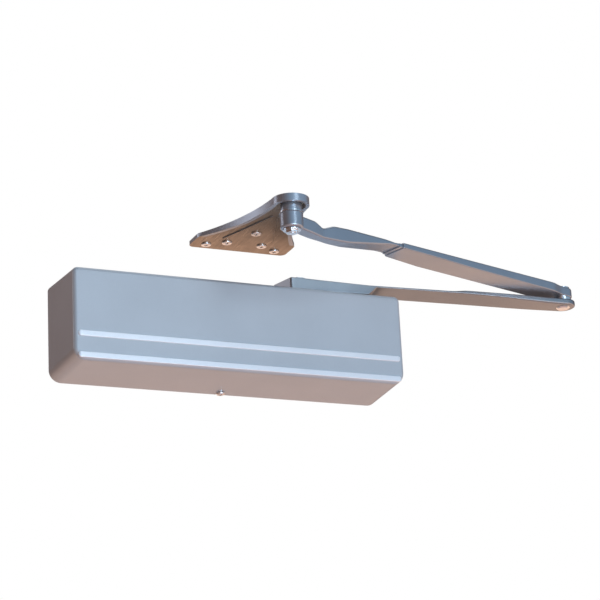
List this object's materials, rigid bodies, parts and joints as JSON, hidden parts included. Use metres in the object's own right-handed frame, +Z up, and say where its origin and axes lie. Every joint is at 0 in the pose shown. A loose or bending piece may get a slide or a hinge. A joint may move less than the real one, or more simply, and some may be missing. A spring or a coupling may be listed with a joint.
{
  "type": "door closer",
  "caption": "Surface door closer with covered rack-and-pinion body, square spindle, main arm, adjustable forearm and triangular soffit bracket for parallel-arm fitting.",
  "frame": {"origin": "centre of the body's four fixing screws, on the face that lies against the door", "axes": "+Y into the door along the fixing screws, +X along the closer towards the elbow of the arms, +Z up"},
  "size_m": [0.5061, 0.1897, 0.1365],
  "materials": {
    "cover_paint": "satin silver paint",
    "arm_paint": "satin silver paint",
    "body_iron": "painted casting",
    "hard_steel": "ground",
    "spring_steel": "oiled",
    "plated_steel": "bright zinc plate",
    "bronze": "sintered",
    "valve_brass": "turned",
    "seal_rubber": "matt"
  },
  "bodies": {
    "closer": {"cover": "cover_paint", "cover_screw": "plated_steel", "closer_body": "body_iron", "body_screws": "plated_steel", "upper_bearing": "hard_steel", "lower_bearing": "hard_steel", "upper_pinion_cap": "body_iron", "lower_pinion_cap": "body_iron", "upper_pinion_seal": "seal_rubber", "lower_pinion_seal": "seal_rubber", "left_end_cap": "body_iron", "right_end_cap": "body_iron", "left_cap_oring": "seal_rubber", "right_cap_oring": "seal_rubber", "adjuster_seal": "seal_rubber", "outer_spring": "spring_steel", "inner_spring": "spring_steel"},
    "arm": {"pinion": "hard_steel", "main_arm": "arm_paint", "arm_washer": "plated_steel", "arm_screw": "plated_steel", "elbow_pin": "plated_steel", "elbow_washer": "plated_steel", "elbow_retainer": "plated_steel"},
    "piston": {"piston": "hard_steel", "piston_rings": "hard_steel", "check_retainer": "hard_steel"},
    "check_ball": {"check_ball": "hard_steel"},
    "forearm": {"forearm_sleeve": "arm_paint", "elbow_bush": "bronze", "length_lock_screws": "plated_steel"},
    "rod": {"forearm_rod": "arm_paint", "pivot_bush": "bronze"},
    "bracket": {"bracket": "arm_paint", "bracket_screws": "plated_steel", "pivot_pin": "plated_steel", "pivot_top_washer": "plated_steel", "pivot_low_washer": "plated_steel", "pivot_nut": "plated_steel"},
    "adjuster": {"power_adjust_screw": "hard_steel"},
    "spring_seat": {"spring_seat": "hard_steel"},
    "backcheck_valve": {"backcheck_valve": "valve_brass"},
    "sweep_valve": {"sweep_valve": "valve_brass"},
    "latch_valve": {"latch_valve": "valve_brass"}
  },
  "joints": [
    {"name": "arm_swing", "type": "hinge", "parent": "closer", "child": "arm", "pos_m": [0.07, -0.033, 0.05], "axis": [0, 0, 1], "range_deg": [-125, 0], "stiffness_Nm_per_rad": 5, "springref_deg": 34.38},
    {"name": "piston_slide", "type": "slide", "parent": "closer", "child": "piston", "axis": [1, 0, 0], "range_m": [-0.0245, 0], "deforming": ["outer_spring", "inner_spring"]},
    {"name": "ball_lift", "type": "slide", "parent": "piston", "child": "check_ball", "axis": [1, 0, 0], "range_m": [0, 0.0024]},
    {"name": "elbow_pivot", "type": "hinge", "parent": "arm", "child": "forearm", "pos_m": [0.33567, -0.05598, 0.064], "axis": [0, 0, 1], "range_deg": [-12, 150]},
    {"name": "forearm_length", "type": "slide", "parent": "forearm", "child": "rod", "axis": [-0.9542, -0.299, 0], "range_m": [-0.008, 0.025]},
    {"name": "bracket_pivot", "type": "hinge", "parent": "rod", "child": "bracket", "pos_m": [0.01027, -0.15795, 0.066], "axis": [0, 0, 1], "range_deg": [-150, 60]},
    {"name": "power_adjust", "type": "hinge", "parent": "closer", "child": "adjuster", "pos_m": [-0.131, -0.033, 0], "axis": [1, 0, 0], "range_deg": [0, 2880]},
    {"name": "seat_slide", "type": "slide", "parent": "closer", "child": "spring_seat", "axis": [1, 0, 0], "range_m": [0, 0.0121], "deforming": ["outer_spring", "inner_spring"]},
    {"name": "backcheck_adjust", "type": "hinge", "parent": "closer", "child": "backcheck_valve", "pos_m": [0.104, -0.061, 0], "axis": [0, 1, 0], "range_deg": [-90, 450]},
    {"name": "sweep_adjust", "type": "hinge", "parent": "closer", "child": "sweep_valve", "pos_m": [0.117, -0.061, 0], "axis": [0, 1, 0], "range_deg": [-90, 450]},
    {"name": "latch_adjust", "type": "hinge", "parent": "closer", "child": "latch_valve", "pos_m": [0.13, -0.061, 0], "axis": [0, 1, 0], "range_deg": [-90, 450]}
  ],
  "couplings": [
    {"joint": "piston_slide", "follows": "arm_swing", "m_per_rad": 0.011},
    {"joint": "seat_slide", "follows": "power_adjust", "m_per_rad": 0.00023873}
  ]
}
